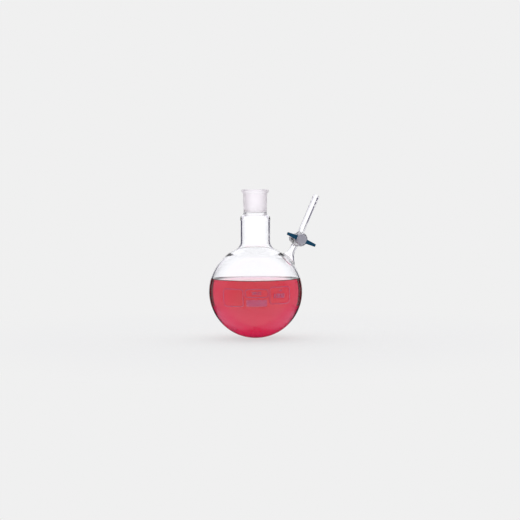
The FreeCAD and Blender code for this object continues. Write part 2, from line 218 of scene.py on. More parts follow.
def neck_root(bulb, neck, rounding):
    """Points from the bulb's wall into the neck's."""
    rise = math.sqrt((bulb + rounding) ** 2 - (neck + rounding) ** 2)
    centre = (neck + rounding, BULB_RADIUS + rise)
    leave = math.atan2(neck + rounding, rise)
    on_bulb = (bulb * math.sin(leave), BULB_RADIUS + bulb * math.cos(leave))
    return [on_bulb] + arc(centre, on_bulb, (neck, centre[1]), ROOT_STEPS)


def shoulder(neck, tube, foot_height, roundings):
    """Points from the neck's wall over the shoulder to a narrower tube."""
    top_rounding, root_rounding = roundings
    root_centre = np.array([tube + root_rounding, foot_height])
    across = root_centre[0] - (neck - top_rounding)
    reach = top_rounding + root_rounding
    top_centre = root_centre - np.array([across, math.sqrt(reach**2 - across**2)])
    meeting = top_centre + (root_centre - top_centre) * (top_rounding / reach)
    start = (neck, top_centre[1])
    points = [start] + arc(top_centre, start, meeting, SHOULDER_STEPS)
    return points + arc(root_centre, meeting, (tube, foot_height), SHOULDER_STEPS)


# ---- surfaces


class Surface:
    """Gathers quads in millimetres, and turns them into one closed mesh in metres."""

    def __init__(self):
        self.points, self.faces, self.materials = [], [], []

    def rows(self, rows, material=0, leave_out=None):
        """Joins rows of points with quads. material is a number or says it for each row, and
        leave_out says which quads stay open."""
        start = len(self.points)
        count = len(rows[0])
        for row in rows:
            self.points.extend(row)
        for i in range(len(rows) - 1):
            for j in range(count):
                if leave_out and leave_out(i, j):
                    continue
                k = (j + 1) % count
                a, b = start + i * count, start + (i + 1) * count
                self.faces.append((a + j, a + k, b + k, b + j))
                self.materials.append(material(i) if callable(material) else material)

    def cap(self, row, pole):
        """Closes a row with triangles to one point."""
        start = len(self.points)
        self.points.extend(row)
        self.points.append(pole)
        for j in range(len(row)):
            self.faces.append((start + j, start + (j + 1) % len(row), start + len(row)))
            self.materials.append(0)

    def mesh(self, name, smooth_angle=35):
        data = bpy.data.meshes.new(name)
        data.from_pydata([tuple(float(v) * MM for v in p) for p in self.points], [], self.faces)
        data.polygons.foreach_set("material_index", self.materials)
        work = bmesh.new()
        work.from_mesh(data)
        bmesh.ops.remove_doubles(work, verts=work.verts, dist=0.002 * MM)
        bmesh.ops.recalc_face_normals(work, faces=work.faces)
        work.to_mesh(data)
        work.free()
        data.polygons.foreach_set("use_smooth", [True] * len(data.polygons))
        data.set_sharp_from_angle(angle=math.radians(smooth_angle))
        return data


def turned_row(radius, height):
    """A circle of points about the neck's axis, from the side arm round towards +Y."""
    turns = np.arange(BULB_COLUMNS) * 2 * math.pi / BULB_COLUMNS
    return np.stack([radius * np.cos(turns), radius * np.sin(turns), turns * 0 + height], axis=1)


def window_loop(along, across):
    """Steps round a window in a grid, from the middle of the side that faces away from the neck.
    `along` leads to that side and `across` towards +Y."""
    steps = [(along, b) for b in range(0, across)]
    steps += [(a, across) for a in range(along, -along, -1)]
    steps += [(-along, b) for b in range(across, -across, -1)]
    steps += [(a, -across) for a in range(-along, along)]
    return steps + [(along, b) for b in range(-across, 0)]


def bend_rows(start, start_direction, end, end_direction, reach):
    """Rows of points on curves that leave and arrive in the given directions."""
    rows = []
    for i in range(1, BEND_STEPS + 1):
        share = i / BEND_STEPS
        left = 1 - share
        rows.append(
            start * left**3
            + (start + start_direction * reach) * (3 * left**2 * share)
            + (end - end_direction * reach) * (3 * left * share**2)
            + end * share**3
        )
    return rows


def unit(vectors):
    return vectors / np.linalg.norm(vectors, axis=-1, keepdims=True)


def onto_sphere(directions, radius_at):
    """Points on the bulb's wall in the given directions from its centre."""
    directions = unit(directions)
    polar = np.degrees(np.arccos(np.clip(directions[:, 2], -1, 1)))
    return BULB_CENTRE + directions * radius_at(polar)[:, None]


def outer_radius_at(polar):
    return np.full_like(polar, BULB_RADIUS)


def inner_radius_at(polar):
    """The inside of the wall, which thickens in a straight step round the crown."""
    share = np.clip((polar - STEP_TOP_ANGLE) / (STEP_FOOT_ANGLE - STEP_TOP_ANGLE), 0, 1)
    share = share * share * (3 - 2 * share)
    return CROWN_INNER_RADIUS + (BULB_INNER_RADIUS - CROWN_INNER_RADIUS) * share


def flare_row(share, foot_radius, tube_radius):
    """A row round the flare, from the bulb at 0 to the lower tube at 1."""
    left = 1 - share
    bend = FLARE_TOP - tilted(LOWER_TILT) * (FLARE_LENGTH / 2)
    middle = FLARE_FOOT * left**2 + bend * (2 * left * share) + FLARE_TOP * share**2
    radius = tube_radius + (foot_radius - tube_radius) * left**2
    tilt = LOWER_TILT + (FLARE_PLACE - LOWER_TILT) * left**FLARE_TURNING
    return middle + around(tilt) * radius


def around(tilt):
    """Unit directions round a tube with the given tilt, from the side away from the neck."""
    across = tilted(tilt + 90)
    return np.cos(BEARINGS)[:, None] * across + np.sin(BEARINGS)[:, None] * ALONG_BARREL


def flare_rows(window, radius_at, foot_radius, tube_radius, rounding, first_share):
    """Rows from a window in the bulb's wall, over the rounding and up the flare."""
    wall = float(radius_at(np.array([FLARE_PLACE]))[0])
    spread = math.asin((foot_radius + rounding) / wall)
    facing = tilted(FLARE_PLACE) * math.cos(spread) + around(FLARE_PLACE) * math.sin(spread)
    loop = unit(window - BULB_CENTRE)
    rows = [window]
    for share in np.linspace(0, 1, 11)[1:]:
        rows.append(onto_sphere(loop * (1 - share) + facing * share, radius_at))
    start = rows[-1]
    end = flare_row(first_share, foot_radius, tube_radius)
    inwards = tilted(FLARE_PLACE) * math.sin(spread) - around(FLARE_PLACE) * math.cos(spread)
    rising = unit(flare_row(first_share + 0.01, foot_radius, tube_radius) - end)
    reach = float(np.linalg.norm(end - start, axis=1).mean()) * 0.4
    rows += bend_rows(start, inwards, end, rising, reach)
    for share in np.linspace(first_share, 1, 12)[1:]:
        rows.append(flare_row(share, foot_radius, tube_radius))
    return rows


def on_arm(points):
    """Moves points from the stopcock's own frame, whose Z runs up the arm, to their place."""
    turn = math.radians(ARM_TILT)
    turned = np.array(
        [[math.cos(turn), 0, math.sin(turn)], [0, 1, 0], [-math.sin(turn), 0, math.cos(turn)]]
    )
    return points @ turned.T + STOPCOCK_CENTRE


def between_ends(y, front, rear):
    """A radius of the barrel at y, from its radii at the front and at the rear."""
    return front + (rear - front) * (y - BARREL_FRONT) / (BARREL_REAR - BARREL_FRONT)


def barrel_radius(y):
    return between_ends(y, BARREL_FRONT_RADIUS, BARREL_REAR_RADIUS)


def seat_radius(y):
    return between_ends(y, SEAT_FRONT_RADIUS, SEAT_REAR_RADIUS)


def about_barrel(radius, y, turn):
    """A point on a turned surface of the barrel, at a turn from the arm's direction."""
    return np.stack([radius * np.sin(turn), y + turn * 0, radius * np.cos(turn)], axis=-1)


def tube_meets(radius_at, tube_radius, tilt, side):
    """Where a tube's wall meets a turned surface of the barrel, as points and turns."""
    across = tube_radius * np.cos(BEARINGS)
    y = tube_radius * np.sin(BEARINGS)
    distance = np.sqrt(radius_at(y) ** 2 - across**2)
    points = (
        tilted(tilt + 90) * across[:, None]
        + ALONG_BARREL * y[:, None]
        + tilted(tilt) * (side * distance)[:, None]
    )
    return points, y, np.arctan2(points[:, 0], points[:, 2])


def surface_rows(radius_at, window, y_end, turn_end, steps):
    """Rows on a turned surface of the barrel, from a window's edge to a tube's."""
    y_start, turn_start = window
    gap = (turn_end - turn_start + math.pi) % (2 * math.pi) - math.pi
    rows = []
    for share in np.linspace(0, 1, steps + 1):
        y = y_start + (y_end - y_start) * share
        rows.append(about_barrel(radius_at(y), y, turn_start + gap * share))
    return rows


def barrel_window(half_turn_steps, half_rows, row_pitch, side):
    """The y and the turn of each point round a window in the barrel's grid."""
    steps = np.array(window_loop(half_turn_steps, half_rows))
    pitch = 2 * math.pi / TUBE_COLUMNS
    turn = steps[:, 0] * pitch if side > 0 else math.pi - steps[:, 0] * pitch
    return steps[:, 1] * row_pitch, turn


def welded_tube_rows(tube_radius, tilt, side):
    """Rows on the barrel's outside, over the weld and up to where the plain tube begins."""
    points, y, turn = tube_meets(barrel_radius, tube_radius + WELD_WIDTH, tilt, side)
    rows = surface_rows(barrel_radius, barrel_window(*WELD_WINDOW, side), y, turn, steps=6)
    corner, _, _ = tube_meets(barrel_radius, tube_radius, tilt, side)
    outwards = tilted(tilt) * side
    end = corner + outwards * WELD_WIDTH
    facing = unit(points * np.array([1.0, 0.0, 1.0]))
    inwards = corner - points
    inwards = unit(inwards - facing * np.sum(inwards * facing, axis=1)[:, None])
    rows += bend_rows(points, inwards, end, outwards, WELD_WIDTH * WELD_BULGE)
    return rows


def port_rows(tilt, side, bore_radius):
    """Rows from the seat's wall through the port and its funnel, into a tube's bore."""
    _, y, turn = tube_meets(seat_radius, PORT_RADIUS, tilt, side)
    rows = surface_rows(seat_radius, barrel_window(*PORT_WINDOW, side), y, turn, steps=4)
    surface = barrel_radius(0)
    for radius, distance in (
        (PORT_RADIUS, surface - PORT_END_LENGTH),
        (PORT_RADIUS, surface),
        (bore_radius, surface + FUNNEL_LENGTH),
    ):
        rows.append(tube_row(radius, distance, tilt, side))
    return rows


def tube_row(radius, distance, tilt, side):
    return tilted(tilt) * (side * distance) + around(tilt) * radius


def hose_outline():
    """(radius, distance) points up the outside of the hose end, round its tip and into it."""
    bulge = (RIDGE_LENGTH**2 / 4 + RIDGE_HEIGHT**2) / (2 * RIDGE_HEIGHT)
    points = [(UPPER_RADIUS, d) for d in np.linspace(*HOSE_PLAIN_SPAN, 7)]
    for i in reversed(range(RIDGE_COUNT)):
        top = HOSE_END_LENGTH - HOSE_TIP_LENGTH - i * RIDGE_PITCH
        foot = top - RIDGE_LENGTH
        centre = (UPPER_RADIUS + RIDGE_HEIGHT - bulge, foot + RIDGE_LENGTH / 2)
        points.append((UPPER_RADIUS, foot))
        points += arc(centre, (UPPER_RADIUS, foot), (UPPER_RADIUS, top), 12)
    tip = (UPPER_RADIUS - HOSE_TIP_ROUNDING, HOSE_END_LENGTH - HOSE_TIP_ROUNDING)
    start = (UPPER_RADIUS, tip[1])
    points.append(start)
    points += arc(tip, start, (tip[0], HOSE_END_LENGTH), 5)
    points.append((UPPER_BORE_RADIUS + HOSE_MOUTH_CHAMFER, HOSE_END_LENGTH))
    points.append((UPPER_BORE_RADIUS, HOSE_END_LENGTH - HOSE_MOUTH_CHAMFER))
    return points + [(UPPER_BORE_RADIUS, d) for d in np.linspace(*HOSE_BORE_SPAN, 5)]


def bulb_rows(radius_at, window_angles):
    """(radius, height) of rows up the bulb's wall, with the flare's window at the given angles."""
    foot_angles = np.linspace(180, window_angles[0], BULB_FOOT_ROWS + 1)[1:]
    points = []
    for angle in [*foot_angles, *window_angles[1:]]:
        radius = float(radius_at(np.array([angle]))[0])
        turn = math.radians(angle)
        points.append((radius * math.sin(turn), BULB_RADIUS + radius * math.cos(turn)))
    return points


def in_windows(columns, tubes, *windows):
    """Says which quads of a wall stay open for tubes at even turns round it. A window is its first
    row, half its columns and half its rows."""
    apart = columns // tubes

    def inside(i, j):
        beside = min(j % apart, apart - 1 - j % apart)
        return any(
            first <= i < first + 2 * half_rows and beside < half_columns
            for first, half_columns, half_rows in windows
        )

    return inside


def add_wall(glass, outline, bottom, material, *flare):
    """The outside or the inside of the bulb and neck, closed at the bottom, and of the flare."""
    rows = [turned_row(r, z) for r, z in outline]
    glass.cap(rows[0], (0, 0, bottom))
    half_rows, half_columns, _ = FLARE_WINDOW
    first = BULB_FOOT_ROWS - 1
    glass.rows(rows, material, in_windows(BULB_COLUMNS, 1, (first, half_columns, half_rows)))
    steps = window_loop(half_rows, half_columns)
    edge = [rows[first + half_rows - a][b % BULB_COLUMNS] for a, b in steps]
    glass.rows(flare_rows(np.array(edge), *flare))


def wall_outline(radius_at, window_angles, crown, neck, root_rounding, plain_top, *socket):
    """(radius, height) points up the bulb and the neck, and over the shoulder."""
    outline = bulb_rows(radius_at, window_angles) + neck_root(crown, neck, root_rounding)
    heights = np.linspace(outline[-1][1], plain_top, NECK_ROWS)[1:]
    return outline + [(neck, h) for h in heights] + shoulder(neck, *socket)


def add_outside(glass):
    """The outside, from the bottom to the rim."""
    bulb = (outer_radius_at, OUTER_ROWS, BULB_RADIUS)
    neck = (NECK_RADIUS, NECK_ROOT_ROUNDING, NECK_PLAIN_TOP)
    socket = (SOCKET_FOOT_OUTER_RADIUS, GROUND_FOOT_HEIGHT, SHOULDER_ROUNDINGS)
    outline = wall_outline(*bulb, *neck, *socket)
    socket_row = len(outline)
    outline += rounded(
        (SOCKET_FOOT_OUTER_RADIUS, GROUND_FOOT_HEIGHT + GROUND_MARGIN, 0),
        (SOCKET_MOUTH_OUTER_RADIUS, RIM_FOOT_HEIGHT, RIM_ROOT_ROUNDING),
        (RIM_RADIUS, RIM_FOOT_HEIGHT, RIM_ROUNDING),
        (RIM_RADIUS, RIM_HEIGHT, RIM_ROUNDING),
        (SOCKET_MOUTH_RADIUS + MOUTH_ROUNDING, RIM_HEIGHT, 0),
    )
    flare = (outer_radius_at, FLARE_FOOT_RADIUS, LOWER_RADIUS, FLARE_ROUNDING, FLARE_START)
    add_wall(glass, outline, 0, lambda i: GROUND if i >= socket_row else CLEAR, *flare)


def add_inside(glass):
    """The ground surface of the socket, and the inside from the bottom to its lip."""
    lip = (SOCKET_FOOT_RADIUS, LIP_HEIGHT + LIP_LENGTH)
    ground = [
        (SOCKET_MOUTH_RADIUS + MOUTH_ROUNDING, RIM_HEIGHT),
        (SOCKET_MOUTH_RADIUS, RIM_HEIGHT - MOUTH_ROUNDING),
        (SOCKET_FOOT_RADIUS, GROUND_FOOT_HEIGHT),
        lip,
    ]
    glass.rows([turned_row(r, z) for r, z in ground], lambda i: GROUND if i < 2 else CLEAR)
    lower_rows = OUTER_ROWS[: FLARE_WINDOW[0]]
    bulb = (inner_radius_at, [*lower_rows, *CROWN_ROWS], CROWN_INNER_RADIUS)
    neck = (NECK_INNER_RADIUS, NECK_ROOT_INNER_ROUNDING, NECK_INNER_PLAIN_TOP)
    socket = (SOCKET_FOOT_RADIUS, LIP_HEIGHT, SHOULDER_INNER_ROUNDINGS)
    outline = wall_outline(*bulb, *neck, *socket)
    flare = (FLARE_INNER_FOOT_RADIUS, LOWER_BORE_RADIUS, FLARE_INNER_ROUNDING, FLARE_INNER_START)
    bottom = BULB_RADIUS - BULB_INNER_RADIUS
    add_wall(glass, outline + [lip], bottom, CLEAR, inner_radius_at, *flare)


def barrel_outline():
    """(radius, y) points along the barrel's outside to the rear and back along the seat, and
    where the rows of the welds and of the ports begin."""
    bead_foot = BEAD_END + BEAD_ROUNDING
    outline = rounded(
        (SEAT_FRONT_RADIUS, BARREL_FRONT, 0),
        (BEAD_RADIUS, BARREL_FRONT, BARREL_ROUNDING),
        (BEAD_RADIUS, BEAD_END, BEAD_ROUNDING),
        (barrel_radius(bead_foot), bead_foot, BEAD_ROUNDING),
        (barrel_radius(-BARREL_PLAIN), -BARREL_PLAIN, 0),
    )
    weld_start = len(outline)
    outline += [(barrel_radius(y), y) for y in window_places(WELD_WINDOW)]
    outline += rounded(
        (barrel_radius(BARREL_PLAIN), BARREL_PLAIN, 0),
        (BARREL_REAR_RADIUS, BARREL_REAR, BARREL_ROUNDING),
        (SEAT_REAR_RADIUS, BARREL_REAR, 0),
    )
    outline += [(seat_radius(y), y) for y in SEAT_PLACES]
    port_start = len(outline)
    outline += [(seat_radius(-y), -y) for y in window_places(PORT_WINDOW)]
    outline += [(seat_radius(-y), -y) for y in reversed(SEAT_PLACES)]
    outline.append((SEAT_FRONT_RADIUS, BARREL_FRONT))
    return outline, weld_start, port_start


def window_places(window):
    """The y of each row of a window in the barrel, from front to rear."""
    _, half_rows, pitch = window
    return np.linspace(-half_rows * pitch, half_rows * pitch, 2 * half_rows + 1)


def add_barrel(glass):
    """The barrel and its seat, with windows for the two tubes and their ports."""
    outline, weld_start, port_start = barrel_outline()
    windows = (weld_start, *WELD_WINDOW[:2]), (port_start, *PORT_WINDOW[:2])
    rows = [on_arm(about_barrel(r, y, BEARINGS)) for r, y in outline]
    glass.rows(rows, leave_out=in_windows(TUBE_COLUMNS, 2, *windows))


def add_tubes(glass):
    """The lower tube from the barrel down to the flare, and the upper one with the hose end."""
    below, above = -1, 1
    lean = LOWER_TILT - ARM_TILT
    outside = welded_tube_rows(LOWER_RADIUS, lean, below)
    outside.append(tube_row(LOWER_RADIUS, LOWER_LENGTH, lean, below))
    inside = port_rows(lean, below, LOWER_BORE_RADIUS)
    inside.append(tube_row(LOWER_BORE_RADIUS, LOWER_LENGTH, lean, below))
    whole = welded_tube_rows(UPPER_RADIUS, 0, above)
    whole += [tube_row(r, d, 0, above) for r, d in hose_outline()]
    whole += reversed(port_rows(0, above, UPPER_BORE_RADIUS))
    for rows in (outside, inside, whole):
        glass.rows([on_arm(row) for row in rows])


def flask_mesh():
    """The glass: bulb, neck, socket, side arm, barrel and hose end as one closed surface."""
    glass = Surface()
    add_outside(glass)
    add_inside(glass)
    add_barrel(glass)
    add_tubes(glass)
    return glass.mesh("flask_glass")


def liquid_mesh():
    """The filling, with the rim that it draws up the glass."""
    wall = BULB_INNER_RADIUS + LIQUID_OVERLAP
    contact = LIQUID_LEVEL + MENISCUS_HEIGHT - BULB_RADIUS
    last = math.acos(contact / wall)
    outline = []
    for turn in np.linspace(math.pi, last, LIQUID_ROWS)[1:]:
        outline.append((wall * math.sin(turn), BULB_RADIUS + wall * math.cos(turn)))
    edge = outline[-1][0]
    fall = math.exp(-MENISCUS_FALL)
    for share in np.linspace(0, 1, MENISCUS_ROWS)[1:] ** 1.5:
        rise = MENISCUS_HEIGHT * (math.exp(-MENISCUS_FALL * share) - fall) / (1 - fall)
        outline.append((edge - MENISCUS_WIDTH * share, LIQUID_LEVEL + rise))
    flat = outline[-1][0]
    outline += [(flat * s, LIQUID_LEVEL) for s in SURFACE_RINGS]
    filling = Surface()
    rows = [turned_row(r, z) for r, z in outline]
    filling.cap(rows[0], (0, 0, BULB_RADIUS - wall))
    filling.rows(rows)
    filling.cap(rows[-1], (0, 0, LIQUID_LEVEL))
    return filling.mesh("liquid_filling", smooth_angle=50)


def rounded_box(width, height, rounding):
    """Points round a box with rounded corners, each with the direction that faces out."""
    points, out = [], []
    for quarter, sides in enumerate(((1, 1), (-1, 1), (-1, -1), (1, -1))):
        corner = np.array([width / 2 - rounding, height / 2 - rounding]) * sides
        for turn in np.radians(90 * quarter + np.linspace(0, 90, 7)):
            facing = np.array([math.cos(turn), math.sin(turn)])
            points.append(corner + facing * rounding)
            out.append(facing)
    whole, facings = [], []
    for i, point in enumerate(points):
        following = points[(i + 1) % len(points)]
        steps = max(1, math.ceil(np.linalg.norm(following - point) / FRAME_SPACING))
        for share in np.arange(steps) / steps:
            whole.append(point + (following - point) * share)
            facings.append(out[i])
    return np.array(whole), np.array(facings)


def print_frame(work, centre, size):
    """A thin rounded frame."""
    points, facing = rounded_box(*size, PRINT_ROUNDING)
    loops = [points + facing * PRINT_STROKE * side for side in (0.5, -0.5)]
    rings = [[work.verts.new((*(p + centre), 0)) for p in loop] for loop in loops]
    for i in range(len(points)):
        k = (i + 1) % len(points)
        work.faces.new((rings[0][i], rings[0][k], rings[1][k], rings[1][i]))


def print_patch(work, centre, size):
    """A filled box with clipped corners, where a note can be written. It is printed thinner."""
    width, height = size
    levels = np.linspace(-height / 2, height / 2, 9)
    rows = []
    for level in levels:
        half = width / 2 - (PATCH_CORNER if abs(level) > height / 2 - PATCH_CORNER else 0)
        row = [(x + centre[0], level + centre[1], 0) for x in np.linspace(-half, half, 21)]
        rows.append([work.verts.new(p) for p in row])
    for low, high in zip(rows, rows[1:]):
        for j in range(len(low) - 1):
            face = work.faces.new((low[j], low[j + 1], high[j + 1], high[j]))
            face.material_index = 1


def print_text(work, text, centre, height):
    """Figures or letters of a given height, cut finely enough to follow the bulb."""
    curve = bpy.data.curves.new(text, "FONT")
    curve.body = text
    curve.offset = LETTER_WEIGHT
    letters = bpy.data.objects.new(text, curve)
    data = bpy.data.meshes.new_from_object(letters)
    places = np.array([v.co for v in data.vertices])
    low, high = places.min(axis=0), places.max(axis=0)
    scale = height / (high[1] - low[1])
    middle = (low + high) / 2
    part = bmesh.new()
    part.from_mesh(data)
    for vertex, place in zip(part.verts, places):
        vertex.co = [*((place[:2] - middle[:2]) * scale + centre), 0]
    for _ in range(5):
        long_edges = [edge for edge in part.edges if edge.calc_length() > LETTER_SPACING]
        if not long_edges:
            break
        bmesh.ops.subdivide_edges(part, edges=long_edges, cuts=1)
        bmesh.ops.triangulate(part, faces=part.faces)
    part.to_mesh(data)
    part.free()
    work.from_mesh(data)
    bpy.data.objects.remove(letters)
    bpy.data.curves.remove(curve)
    bpy.data.meshes.remove(data)


def print_mesh():
    """The print, laid on the bulb: three frames, a patch and the volume."""
    work = bmesh.new()
    for centre, size in PRINT_FRAMES:
        print_frame(work, centre, size)
    print_patch(work, *PRINT_PATCH)
    for text, centre, height in PRINT_TEXTS:
        print_text(work, text, centre, height)
    bmesh.ops.recalc_face_normals(work, faces=work.faces)
    for face in work.faces:
        if face.normal.z < 0:
            face.normal_flip()
    layer = BULB_RADIUS + PRINT_LIFT
    for vertex in work.verts:
        across, up, _ = vertex.co
        latitude = math.radians(PRINT_LATITUDE) + up / BULB_RADIUS
        bearing = math.radians(PRINT_BEARING) + across / BULB_RADIUS
        reach = layer * math.cos(latitude)
        vertex.co = (
            reach * math.sin(bearing) * MM,
            -reach * math.cos(bearing) * MM,
            (BULB_RADIUS + layer * math.sin(latitude)) * MM,
        )
    data = bpy.data.meshes.new("bulb_print")
    work.to_mesh(data)
    work.free()
    data.shade_smooth()
    return data


def add_object(name, data):
    made = bpy.data.objects.new(name, data)
    bpy.context.scene.collection.objects.link(made)
    return made


def add_piece(data, materials, body, node=None):
    """Puts a finished mesh in the scene on its body, and hides the imported part that it stands
    for.
    """
    piece = add_object(data.name, data)
    for material in materials:
        data.materials.append(material)
    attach(piece, body)
    if node:
        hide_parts(node)
    return piece


# ---- finishes


# Sizes and depths of the textures are metres
WAVE_SIZE = 0.018
WAVE_DEPTH = 0.00003
GRAIN_DETAIL = 3.0
GLASS_IOR = 1.47
LIQUID_IOR = 1.33
GRAIN_SPAN = (0.3, 0.7)  # nearly all of the grain's share lies between these
WORN_SPAN = (0.35, 0.65)
RING_SPAN = (0.0, 0.5)


class Wiring:
    """Short calls that place and join shader nodes in one tree."""

    def __init__(self, tree):
        self.tree = tree

    def node(self, kind, **inputs):
        """A new shader node of a kind such as "Math", with the given inputs."""
        made = self.tree.nodes.new("ShaderNode" + kind)
        for key, value in inputs.items():
            self.feed(value, made.inputs[key.replace("_", " ")])
        return made

    def feed(self, value, socket):
        if isinstance(value, bpy.types.NodeSocket):
            self.tree.links.new(value, socket)
        else:
            socket.default_value = value

    def sum(self, operation, first, second=0.0):
        made = self.node("Math")
        made.operation = operation
        self.feed(first, made.inputs[0])
        self.feed(second, made.inputs[1])
        return made.outputs[0]

    def degrees(self, angle):
        return self.sum("MULTIPLY", angle, 180 / math.pi)

    def length(self, vector):
        made = self.node("VectorMath", Vector=vector)
        made.operation = "LENGTH"
        return made.outputs["Value"]

    def ramp(self, value, start, end, low=0.0, high=1.0):
        """Goes softly from low to high while the value goes from start to end."""
        made = self.node("MapRange")
        made.interpolation_type = "SMOOTHSTEP"
        for place, given in enumerate((value, start, end, low, high)):
            self.feed(given, made.inputs[place])
        return made.outputs["Result"]

    def blend(self, share, first, second):
        """The first colour where the share is 0, and the second where it is 1."""
        made = self.node("Mix")
        made.data_type = "RGBA"
        for place, value in ((0, share), (6, first), (7, second)):
            self.feed(value, made.inputs[place])
        return made.outputs[2]

    def fade(self, value, span, first, second):
        """Goes from the first colour to the second while the value crosses the span."""
        return self.blend(self.ramp(value, *span), first, second)

    def mix(self, share, first, second):
        """The first shader where the share is 0, and the second where it is 1."""
        made = self.node("MixShader", Fac=share)
        self.feed(first.outputs[0], made.inputs[1])
        self.feed(second.outputs[0], made.inputs[2])
        return made


def grey(level):
    return (level, level, level, 1.0)


def new_material(name, **settings):
    """A material with the given plain settings, its main shader and its wiring."""
    material = bpy.data.materials.new(name)
    material.use_nodes = True
    shader = material.node_tree.nodes["Principled BSDF"]
    for key, value in settings.items():
        shader.inputs[key.replace("_", " ")].default_value = value
    return material, shader, Wiring(material.node_tree)


def shared_effect(name, inputs, share_at):
    """A shader group that gives a share from 0 to 1 for each place, and a relief of that shape."""
    group = bpy.data.node_groups.new(name, "ShaderNodeTree")
    for label, kind in (("Position", "Vector"), *inputs, ("Depth", "Float")):
        group.interface.new_socket(label, in_out="INPUT", socket_type="NodeSocket" + kind)
    for label, kind in (("Share", "Float"), ("Normal", "Vector")):
        group.interface.new_socket(label, in_out="OUTPUT", socket_type="NodeSocket" + kind)
    wire = Wiring(group)
    given = group.nodes.new("NodeGroupInput").outputs
    share = share_at(wire, given)
    relief = wire.node("Bump", Height=share, Distance=given["Depth"])
    end = group.nodes.new("NodeGroupOutput")
    wire.feed(share, end.inputs["Share"])
    wire.feed(relief.outputs["Normal"], end.inputs["Normal"])
    return group


def grain_effect():
    """Fine uneven relief, as on moulded, ground or blown surfaces."""

    def share_at(wire, given):
        scale = wire.sum("DIVIDE", 1.0, given["Size"])
        noise = wire.node("TexNoise", Vector=given["Position"], Scale=scale)
        wire.feed(GRAIN_DETAIL, noise.inputs["Detail"])
        return noise.outputs[0]

    return shared_effect("surface_grain", [("Size", "Float")], share_at)


def turning_effect():
    """The rings that a lathe leaves round the key's axis, which runs along Y."""

    def share_at(wire, given):
        offset = wire.node("VectorMath", Vector=given["Position"])
        offset.operation = "SUBTRACT"
        wire.feed(given["Axis"], offset.inputs[1])
        x, y, z = wire.node("SeparateXYZ", Vector=offset.outputs[0]).outputs
        radius = wire.length(wire.node("CombineXYZ", X=x, Z=z).outputs[0])
        phase = wire.sum("DIVIDE", wire.sum("ADD", radius, y), given["Pitch"])
        return wire.sum("PINGPONG", phase, RING_SPAN[1])

    return shared_effect("turning_rings", [("Axis", "Vector"), ("Pitch", "Float")], share_at)


def use_effect(wire, group, **inputs):
    """Places a shared effect in a material, in the part's own frame."""
    place = wire.node("TexCoord").outputs["Object"]
    made = wire.node("Group")
    made.node_tree = group
    wire.feed(place, made.inputs["Position"])
    for key, value in inputs.items():
        wire.feed(value, made.inputs[key])
    return made.outputs["Share"], made.outputs["Normal"]


def glassy(name, colour, ior, **settings):
    """A clear finish, its main shader and its wiring."""
    clear = {"Base_Color": colour, "IOR": ior, "Transmission_Weight": 1.0}
    return new_material(name, **clear, **settings)


def clear_glass(grain):
    """Blown glass with faint waves."""
    material, shader, wire = glassy("clear_glass", grey(1.0), GLASS_IOR, Roughness=0.0)
    _, waves = use_effect(wire, grain, Size=WAVE_SIZE, Depth=WAVE_DEPTH)
    wire.feed(waves, shader.inputs["Normal"])
    return material


def ground_glass(grain):
    """Glass ground dull, which scatters what is behind it."""
    material, shader, wire = glassy("ground_glass", (1.0, 0.975, 0.99, 1), GLASS_IOR)
    share, pits = use_effect(wire, grain, Size=0.0003, Depth=0.00002)
    wire.feed(wire.ramp(share, *GRAIN_SPAN, 0.46, 0.54), shader.inputs["Roughness"])
    wire.feed(pits, shader.inputs["Normal"])
    return material


def red_liquid():
    """A clear liquid that swallows green the most on the light's way through."""
    material, _, wire = glassy("red_liquid", grey(1.0), LIQUID_IOR, Roughness=0.0)
    dye = wire.node("VolumeAbsorption", Color=(0.921, 0.0085, 0.47, 1), Density=58.5)
    wire.feed(dye.outputs[0], material.node_tree.nodes["Material Output"].inputs["Volume"])
    return material


def dress(wire, shader, colour, roughness, relief):
    """Gives a main shader its colour, roughness and relief."""
    wire.feed(colour, shader.inputs["Base Color"])
    wire.feed(roughness, shader.inputs["Roughness"])
    wire.feed(relief, shader.inputs["Normal"])


def fluoropolymer(grain, rings, axis):
    """White turned plastic, a little cloudy, with fine rings round the key's axis."""
    material, shader, wire = new_material("white_fluoropolymer")
    cloud, _ = use_effect(wire, grain, Size=0.0012, Depth=0.0)
    ring, turned = use_effect(wire, rings, Axis=axis, Pitch=0.00035, Depth=0.00001)
    colour = wire.fade(cloud, GRAIN_SPAN, (0.63, 0.62, 0.68, 1), (0.69, 0.68, 0.74, 1))
    dress(wire, shader, colour, wire.ramp(ring, *RING_SPAN, 0.34, 0.46), turned)
    return material


def textured(name, grain, size, depth, roughness, colours, span=None, cloud=None, **settings):
    """An opaque finish with a fine texture. Its two colours follow the grain or a wider cloud."""
    material, shader, wire = new_material(name, **settings)
    share, texture = use_effect(wire, grain, Size=size, Depth=depth)
    rough = wire.ramp(share, *GRAIN_SPAN, *roughness)
    if cloud:
        share, _ = use_effect(wire, grain, Size=cloud, Depth=0.0)
    if span:
        share = wire.ramp(share, *span)
    dress(wire, shader, wire.blend(share, *colours), rough, texture)
    return material


def teal_plastic(grain):
    """Moulded plastic, a little cloudy."""
    texture = (0.0004, 0.000015, (0.36, 0.48))
    teal = ((0.004, 0.085, 0.170, 1), (0.007, 0.105, 0.205, 1))
    return textured("teal_plastic", grain, *texture, teal, cloud=0.004, Specular_IOR_Level=0.25)


def black_rubber(grain):
    """Dull rubber."""
    texture = (0.0003, 0.00002, (0.6, 0.75))
    return textured("black_rubber", grain, *texture, (grey(0.045), grey(0.065)))


def enamel(grain, name, cover, *colours):
    """Pale enamel, fired on and a little worn, which covers some of what is behind it."""
    texture = (0.0006, 0.00001, (0.45, 0.6))
    return textured(name, grain, *texture, colours, WORN_SPAN, Alpha=cover)


# ---- studio


